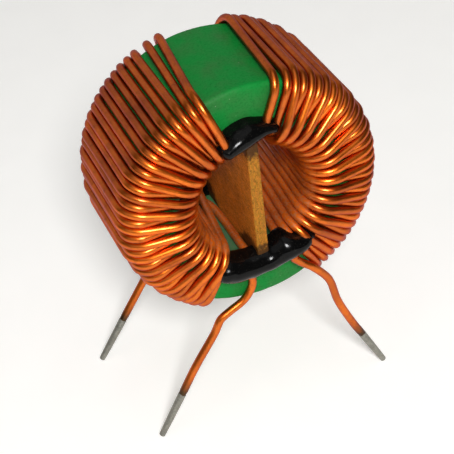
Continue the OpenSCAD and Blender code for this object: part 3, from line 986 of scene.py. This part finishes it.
class CHOKE_OT_glue_beads(bpy.types.Operator):
    """Makes the four lumpy glue beads that hold the divider"""

    bl_idname = "choke.glue_beads"
    bl_label = "Glue beads"

    PLACES = (("top", "front"), ("bottom", "front"), ("top", "back"), ("bottom", "back"))
    FIRST_SEED = 5
    RINGS = 110
    SIDES = 48
    # Steps between two places of a bead, and how many of them are softened together
    FINE_STEPS = 8
    SOFTENED = 13
    # The lumps: sizes in millimetres, the share of the fast ones, and how much more they push off the face
    SLOW_WAVE = 1.7
    FAST_WAVE = 0.8
    FAST_SHARE = 0.3
    FAST_SEED = 20
    OFF_FACE = 3

    def execute(self, context):
        glue, sizes = context.scene.choke_glue, Sizes(context.scene)
        material = black_glue(glue)
        for seed, (label, end) in enumerate(self.PLACES, self.FIRST_SEED):
            points, faces = self.bead(label, glue, sizes)
            points = points + self.bulge(points, glue.lump / MM, seed)
            if end == "back":
                points = points * TURNED_ROUND
            piece = put_mesh(f"glue_bead_{label}_{end}", points + (0, 0, sizes.height), faces)
            finish_piece(piece, material, "black_glue", f"glue_{label}_{end}")
        return {"FINISHED"}

    def bead(self, label, glue, sizes):
        """A rounded rope along the hole's edge: high over the face, shallow below it."""
        places, widths, heights = (np.array(row, float) for row in BEADS[label])
        start, span = BEAD_ANGLES[label]
        wide, high = glue.half_width / MM, glue.height / MM
        last = len(places) - 1
        step = abs(span) / last
        middle_radius = sizes.hole + sizes.depth * places.mean()
        lead_in = math.degrees(wide * widths[0] / middle_radius) / step
        lead_out = math.degrees(wide * widths[-1] / middle_radius) / step
        spots = -lead_in + (last + lead_in + lead_out) * (1 - np.cos(np.linspace(0, math.pi, self.RINGS))) / 2
        held = np.clip(spots, 0, last)
        close = np.where(spots < 0, spots / lead_in, np.where(spots > last, (spots - last) / lead_out, 0))
        close = np.sqrt(np.maximum(1 - close**2, 0))
        marks = np.linspace(0, last, self.FINE_STEPS * last + 1)
        weights = np.hanning(self.SOFTENED + 2)[1:-1]

        def smooth(values):
            bent = np.interp(marks, np.arange(last + 1), values)
            padded = np.pad(bent, self.SOFTENED // 2, mode="edge")
            return np.interp(held, marks, np.convolve(padded, weights / weights.sum(), "valid"))

        radius = sizes.hole + sizes.depth * smooth(places)
        half = wide * smooth(widths) * close
        rise = high * smooth(heights) * close
        low = glue.depth / MM * close
        at = np.arange(self.SIDES) * 2 * math.pi / self.SIDES
        turned = np.radians(start + np.sign(span) * step * spots)
        across = radius[:, None] + half[:, None] * np.cos(at)
        out = np.where(np.sin(at) > 0, rise[:, None] * np.sin(at), low[:, None] * np.sin(at))
        points = np.stack([
            across * np.cos(turned)[:, None], -sizes.half - out, across * np.sin(turned)[:, None]
        ], -1)
        return self.closed(points, span < 0)

    def closed(self, points, backwards):
        """Points and faces of a bead's rings, with its two end rings drawn together to a point."""
        body = points[1:-1].reshape(-1, 3)
        rings = len(points) - 2
        faces = band_faces(rings, self.SIDES)
        ends = np.array([points[0].mean(0), points[-1].mean(0)])
        first, final = len(body), len(body) + 1
        edge = (rings - 1) * self.SIDES
        for k in range(self.SIDES):
            following = (k + 1) % self.SIDES
            faces.append((first, following, k))
            faces.append((final, edge + k, edge + following))
        if not backwards:
            faces = [face[::-1] for face in faces]
        return np.vstack([body, ends]), faces

    def bulge(self, points, height, seed):
        """How far each point of a bead is pushed out by the lumps."""
        fast = self.FAST_SHARE * lumps(points, self.FAST_WAVE, seed + self.FAST_SEED)
        waves = lumps(points, self.SLOW_WAVE, seed) + fast
        away = (points - points.mean(0)) * (1, self.OFF_FACE, 1)
        return unit(away) * (waves * height)[:, None]


class CHOKE_OT_tinned_ends(bpy.types.Operator):
    """Makes the solder coats on the four lead tips"""

    bl_idname = "choke.tinned_ends"
    bl_label = "Tinned ends"

    SIDES = 24
    RINGS = 40
    INNER_RINGS_SKIPPED = 6
    # The tip's rounding as a share of its bevel, and the lip at the top: out, up, and into the wire
    TIP_ROUNDING = 0.3
    LIP_OUT = 0.01
    LIP_UP = 0.03
    INTO_WIRE = 0.05
    # Waves in the coat's thickness, which start above the bevel
    WAVE_START = 1.5
    WAVE = 0.9
    WAVE_SHARE = 0.02
    WAVE_SINK = 0.5
    WAVE_SEED = 40
    # The ragged top edge
    EDGE_DEPTH = 0.1
    EDGE_WAVE = 0.35
    EDGE_HEIGHT = 0.12
    EDGE_SINK = 0.6
    EDGE_SEED = 60

    def execute(self, context):
        leads, sizes = context.scene.choke_leads, Sizes(context.scene)
        material = tinned_wire(leads)
        for seed, (label, lead) in enumerate(sorted(leads_of(sizes, context.scene).items())):
            points, faces = self.coat(sizes, seed)
            turn = np.array(Vector(-lead.way).to_track_quat("Z", "Y").to_matrix())
            points = points @ turn.T + lead.tip
            if "right" in label:
                points = points * TURNED_ROUND
            piece = put_mesh(f"solder_coat_{label}", points + (0, 0, sizes.height), faces)
            finish_piece(piece, material, "tinned_wire", f"tin_{label}")
        return {"FINISHED"}

    def coat(self, sizes, seed):
        """A closed coat from the tip up to its ragged top edge and back down inside the wire."""
        radius, bevel, top = sizes.tin_radius, sizes.tin_bevel, sizes.tin_length
        inner = sizes.copper - self.INTO_WIRE
        rounding = self.TIP_ROUNDING * bevel
        ups = np.linspace(bevel, top, self.RINGS)
        profile = [(radius - bevel, 0.0), (radius - rounding, rounding)]
        profile += [(radius, up) for up in ups]
        profile += [(sizes.copper + self.LIP_OUT, top + self.LIP_UP), (inner, top)]
        profile += [(inner, up) for up in ups[:: -self.INNER_RINGS_SKIPPED]]
        profile = np.array(profile)
        at = np.arange(self.SIDES) * 2 * math.pi / self.SIDES
        points = np.stack([
            np.outer(profile[:, 0], np.cos(at)),
            np.outer(profile[:, 0], np.sin(at)),
            np.repeat(profile[:, 1:], self.SIDES, 1),
        ], -1).reshape(-1, 3)
        free = (profile[:, 0] > sizes.copper) & (profile[:, 1] > self.WAVE_START * bevel)
        waves = lumps(points, self.WAVE, self.WAVE_SEED + seed) - self.WAVE_SINK
        thick = 1 + np.repeat(free, self.SIDES) * self.WAVE_SHARE * waves
        points[:, :2] *= (thick * narrowed(sizes, points[:, 2]))[:, None]
        ragged = lumps(points * (1, 1, 0), self.EDGE_WAVE, self.EDGE_SEED + seed) - self.EDGE_SINK
        at_edge = np.repeat(profile[:, 1] > top - self.EDGE_DEPTH, self.SIDES)
        points[:, 2] += at_edge * self.EDGE_HEIGHT * ragged
        return points, band_faces(len(profile), self.SIDES) + end_faces(len(profile), self.SIDES)


class CHOKE_OT_stage(bpy.types.Operator):
    """Sets the floor, the lights and the camera"""

    bl_idname = "choke.stage"
    bl_label = "Stage"

    # The floor in metres: flat rows, a sweep up into the backdrop, and the backdrop's heights
    FLOOR_HALF = 1.2
    FLOOR_COLUMNS = 9
    FLOOR_ROWS = (-0.4, 0.5, 10)
    SWEEP_RADIUS = 0.3
    SWEEP_ROWS = (0.1, math.pi / 2, 14)
    BACKDROP_HEIGHTS = (0.5, 0.8, 1.2)
    FLOOR_GLOW = 0.34
    ROOM_LIGHT = 0.08
    # Each lamp: its power property and share of it, width, azimuth, elevation and distance
    LAMPS = {
        "key_light": ("key_power", 1.0, 0.1, -13, 40, 0.4),
        "top_light": ("top_power", 1.0, 0.5, 20, 80, 0.6),
        "left_light": ("top_power", 0.5, 0.4, -70, 35, 0.6),
    }
    AIM_SHARE = 0.7
    SENSOR_WIDTH = 36
    CLIP_START = 0.005

    def execute(self, context):
        scene, stage = context.scene, context.scene.choke_stage
        scene.view_settings.view_transform = "Standard"
        self.lay_floor(stage)
        self.light_room(scene)
        middle = Vector((0, 0, scene.choke_core.centre_height * self.AIM_SHARE))
        for name, (label, share, *place) in self.LAMPS.items():
            self.hang_lamp(name, share * getattr(stage, label), middle, *place)
        self.aim_camera(scene, stage)
        return {"FINISHED"}

    def lay_floor(self, stage):
        """A floor that runs up into a backdrop behind the part."""
        back, radius = self.FLOOR_ROWS[1], self.SWEEP_RADIUS
        profile = [(-self.FLOOR_HALF, 0.0)] + [(y, 0.0) for y in np.linspace(*self.FLOOR_ROWS)]
        for turned in np.linspace(*self.SWEEP_ROWS):
            profile.append((back + radius * math.sin(turned), radius * (1 - math.cos(turned))))
        profile += [(back + radius, z) for z in self.BACKDROP_HEIGHTS]
        columns = np.linspace(-self.FLOOR_HALF, self.FLOOR_HALF, self.FLOOR_COLUMNS)
        points = [(x, y, z) for y, z in profile for x in columns]
        faces = []
        for i in range(len(profile) - 1):
            for k in range(self.FLOOR_COLUMNS - 1):
                here = i * self.FLOOR_COLUMNS + k
                there = here + self.FLOOR_COLUMNS
                faces.append((here, here + 1, there + 1, there))
        floor = put_mesh("floor", np.array(points) / MM, faces)
        floor.data.materials.append(pale_floor(stage, self.FLOOR_GLOW))

    def light_room(self, scene):
        """A weak even light from all sides."""
        world = bpy.data.worlds.new("soft_room")
        world.use_nodes = True
        room = world.node_tree.nodes["Background"]
        room.inputs["Color"].default_value = (1, 1, 1, 1)
        room.inputs["Strength"].default_value = self.ROOM_LIGHT
        scene.world = world

    def hang_lamp(self, name, power, middle, width, azimuth, elevation, distance):
        """A round soft lamp that looks at the part."""
        light = bpy.data.lights.new(name, "AREA")
        light.shape = "DISK"
        light.energy = power
        light.size = width
        way = way_out(math.radians(azimuth), math.radians(elevation))
        lamp = bpy.data.objects.new(name, light)
        turned = way.to_track_quat("Z", "Y").to_matrix().to_4x4()
        lamp.matrix_world = Matrix.Translation(middle + way * distance) @ turned
        bpy.context.scene.collection.objects.link(lamp)

    def aim_camera(self, scene, stage):
        """The camera at the angles, roll and distance of the stage."""
        back = way_out(stage.azimuth, stage.elevation)
        level = Vector((math.cos(stage.azimuth), math.sin(stage.azimuth), 0))
        upright = back.cross(level)
        right = math.cos(stage.roll) * level + math.sin(stage.roll) * upright
        up = math.cos(stage.roll) * upright - math.sin(stage.roll) * level
        spot = Vector((0, 0, scene.choke_core.centre_height))
        spot += stage.aside * right + stage.above * up + stage.distance * back
        data = bpy.data.cameras.new("camera")
        data.lens = stage.lens
        data.sensor_width = self.SENSOR_WIDTH
        data.clip_start = self.CLIP_START
        camera = bpy.data.objects.new("camera", data)
        camera.matrix_world = Matrix((right, up, back)).transposed().to_4x4()
        camera.matrix_world.translation = spot
        scene.collection.objects.link(camera)
        scene.camera = camera


class CHOKE_PT_panel(bpy.types.Panel):
    """Lists the steps that dress the choke"""

    bl_idname = "CHOKE_PT_panel"
    bl_label = "Toroidal choke"
    bl_space_type = "VIEW_3D"
    bl_region_type = "UI"
    bl_category = "Choke"

    def draw(self, context):
        for label, group in GROUPS.items():
            box = self.layout.box()
            box.label(text=group.__doc__)
            for prop in group.__annotations__:
                box.prop(getattr(context.scene, label), prop)
        for step in STEPS:
            self.layout.operator(step.bl_idname)


STEPS = (
    CHOKE_OT_coated_core,
    CHOKE_OT_windings,
    CHOKE_OT_divider,
    CHOKE_OT_glue_beads,
    CHOKE_OT_tinned_ends,
    CHOKE_OT_stage,
)


def register():
    for group in GROUPS.values():
        bpy.utils.register_class(group)
    for label, group in GROUPS.items():
        setattr(bpy.types.Scene, label, PointerProperty(type=group))
    for step in (*STEPS, CHOKE_PT_panel):
        bpy.utils.register_class(step)


def unregister():
    for step in reversed((*STEPS, CHOKE_PT_panel)):
        bpy.utils.unregister_class(step)
    for label in GROUPS:
        delattr(bpy.types.Scene, label)
    for group in reversed(GROUPS.values()):
        bpy.utils.unregister_class(group)


def main():
    register()
    bpy.ops.choke.coated_core()
    bpy.ops.choke.windings()
    bpy.ops.choke.divider()
    bpy.ops.choke.glue_beads()
    bpy.ops.choke.tinned_ends()
    bpy.ops.choke.stage()


if __name__ == "__main__":
    main()
